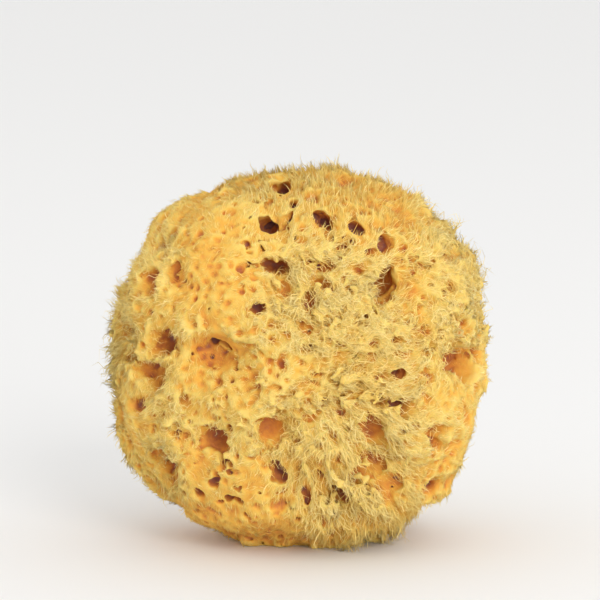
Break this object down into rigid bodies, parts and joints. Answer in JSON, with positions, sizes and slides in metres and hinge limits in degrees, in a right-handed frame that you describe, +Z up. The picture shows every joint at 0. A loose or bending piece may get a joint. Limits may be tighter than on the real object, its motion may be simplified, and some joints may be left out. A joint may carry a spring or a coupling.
{
  "type": "sea sponge",
  "caption": "Natural bath sponge: a rounded, lumpy body of golden fibre, pitted all over and cut flat underneath where it grew.",
  "frame": {"origin": "on the flat cut base, near its middle, straight under the middle of the body", "axes": "+Z up from the cut base, -Y out of the described front, X from side to side"},
  "size_m": [0.0919, 0.0728, 0.0897],
  "materials": {
    "golden_fibre": "matte"
  },
  "bodies": {
    "root": {"sponge": "golden_fibre"}
  },
  "joints": []
}
